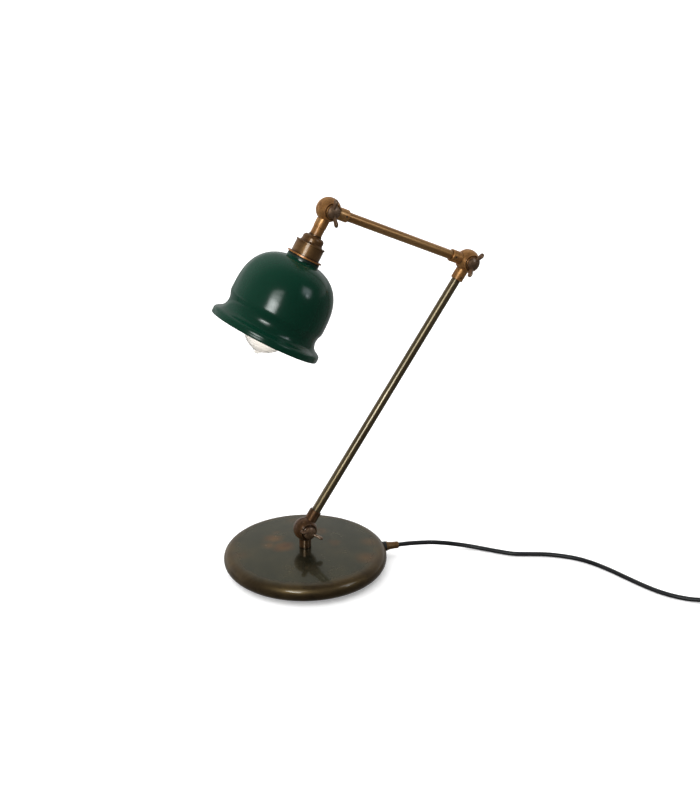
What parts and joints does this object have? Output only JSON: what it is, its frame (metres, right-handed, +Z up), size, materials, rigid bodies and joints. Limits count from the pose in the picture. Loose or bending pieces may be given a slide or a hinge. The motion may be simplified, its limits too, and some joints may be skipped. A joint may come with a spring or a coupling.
{
  "type": "desk lamp",
  "caption": "Two-arm desk lamp on a weighted round base, with toothed ball knuckles clamped by wing screws, a bell shade and a corded in-line switch and plug.",
  "frame": {"origin": "centre of the base's underside, on the table", "axes": "+Z up; the arms move in the XZ plane with the elbow towards +X; the wing screws are on the -Y side"},
  "size_m": [0.717, 0.5196, 0.5442],
  "materials": {
    "patinated_brass": "polished dark patina with rust-brown blotches, lacquered",
    "antique_brass": "antiqued, satin with dark shading in the recesses",
    "dark_brass": "antiqued darker, satin",
    "screw_bronze": "darkened bronze, satin",
    "copper_ring": "bright copper-coloured, polished",
    "plain_brass": "machined",
    "green_enamel": "deep bottle-green gloss enamel outside, white inside",
    "iron": "as cast",
    "steel": "zinc plated",
    "black_rubber": "matt",
    "porcelain": "glazed porcelain",
    "bulb_glass": "clear, warm tint",
    "bulb_cap": "nickel plated",
    "filament": "glass mount with yellow filament rods",
    "wire_sleeve": "silicone sleeve",
    "cord_black": "smooth black cord jacket",
    "tie_black": "matt",
    "switch_black": "smooth moulding",
    "pin_metal": "nickel plated, black sleeves next to the body"
  },
  "bodies": {
    "base": {"base_cover": "patinated_brass", "base_weight": "iron", "base_plate": "steel", "base_pad": "black_rubber", "plate_screws": "steel", "centre_tube": "plain_brass", "centre_nut": "plain_brass", "centre_washer": "steel", "base_stem": "dark_brass", "stem_grub": "steel", "stem_wires": "wire_sleeve", "gland_seal": "black_rubber", "cable_gland": "antique_brass", "gland_nut": "antique_brass", "base_flex": "cord_black", "cord_to_switch": "cord_black", "switch_base": "switch_black", "switch_cover": "switch_black", "switch_screws": "steel", "cord_to_coil": "cord_black", "cord_coil": "cord_black", "coil_tie": "tie_black", "cord_to_plug": "cord_black", "plug_body": "switch_black", "plug_pins": "pin_metal"},
    "lower_arm": {"lower_knuckle": "dark_brass", "lower_tube": "dark_brass", "elbow_knuckle": "antique_brass", "lower_wires": "wire_sleeve", "lower_grubs": "steel", "base_joint_washer": "dark_brass", "elbow_washer": "antique_brass"},
    "upper_arm": {"upper_elbow_knuckle": "antique_brass", "upper_tube": "antique_brass", "upper_head_knuckle": "antique_brass", "upper_wires": "wire_sleeve", "upper_grubs": "steel"},
    "head": {"head_knuckle": "antique_brass", "head_washer": "antique_brass", "holder_tube": "antique_brass", "holder_cap": "antique_brass", "holder_body": "antique_brass", "holder_insert": "porcelain", "holder_contacts": "plain_brass", "head_wires": "wire_sleeve", "shade_ring_upper": "copper_ring", "shade_ring_lower": "copper_ring", "shade": "green_enamel", "bulb_glass": "bulb_glass", "bulb_cap": "bulb_cap", "bulb_filament": "filament"},
    "base_wing": {"base_wing_screw": "screw_bronze"},
    "elbow_wing": {"elbow_wing_screw": "screw_bronze"},
    "head_wing": {"head_wing_screw": "screw_bronze"},
    "rocker": {"switch_rocker": "switch_black"}
  },
  "joints": [
    {"name": "base_tilt", "type": "hinge", "parent": "base", "child": "lower_arm", "pos_m": [0, 0, 0.0595], "axis": [0, -1, 0], "range_deg": [-45, 60]},
    {"name": "elbow", "type": "hinge", "parent": "lower_arm", "child": "upper_arm", "pos_m": [0.25709, 0, 0.42395], "axis": [0, 1, 0], "range_deg": [-15, 200]},
    {"name": "head_tilt", "type": "hinge", "parent": "upper_arm", "child": "head", "pos_m": [0.04012, 0, 0.52466], "axis": [0, -1, 0], "range_deg": [-200, 30]},
    {"name": "base_wing_turn", "type": "hinge", "parent": "base", "child": "base_wing", "pos_m": [0, 0, 0.0595], "axis": [0, -1, 0], "range_deg": [0, 180]},
    {"name": "elbow_wing_turn", "type": "hinge", "parent": "upper_arm", "child": "elbow_wing", "pos_m": [0.25709, 0, 0.42395], "axis": [0, -1, 0], "range_deg": [0, 180]},
    {"name": "head_wing_turn", "type": "hinge", "parent": "upper_arm", "child": "head_wing", "pos_m": [0.04012, 0, 0.52466], "axis": [0, -1, 0], "range_deg": [0, 180]},
    {"name": "switch_rock", "type": "hinge", "parent": "base", "child": "rocker", "pos_m": [0.481, -0.371, 0.011], "axis": [-0.6428, -0.766, 0], "range_deg": [0, 20]}
  ]
}
